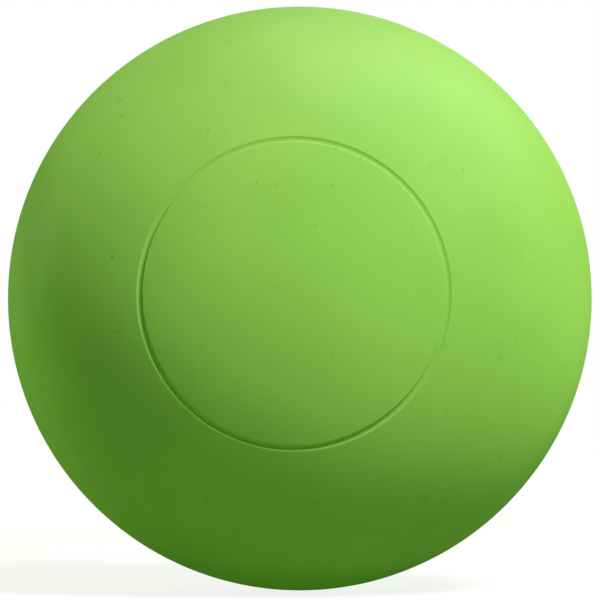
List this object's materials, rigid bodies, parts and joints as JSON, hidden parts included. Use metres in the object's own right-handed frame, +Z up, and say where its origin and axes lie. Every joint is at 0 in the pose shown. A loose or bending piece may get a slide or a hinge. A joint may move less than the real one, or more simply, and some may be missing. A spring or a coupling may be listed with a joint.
{
  "type": "lacrosse ball",
  "caption": "Solid rubber lacrosse ball with a moulded core, a lime green cover in halves and a fine engraved ring on its face, for throwing, catching and shooting.",
  "frame": {"origin": "centre of the ball", "axes": "+Z up, and -Y out of the ball through the middle of the engraved ring, so the cover's halves meet in the XZ plane"},
  "size_m": [0.0634, 0.0636, 0.0634],
  "materials": {
    "cover_rubber": "satin moulded rubber, lime green",
    "core_rubber": "unpigmented moulded rubber, buff"
  },
  "bodies": {
    "root": {"core": "core_rubber", "front_cover": "cover_rubber", "back_cover": "cover_rubber"}
  },
  "joints": []
}
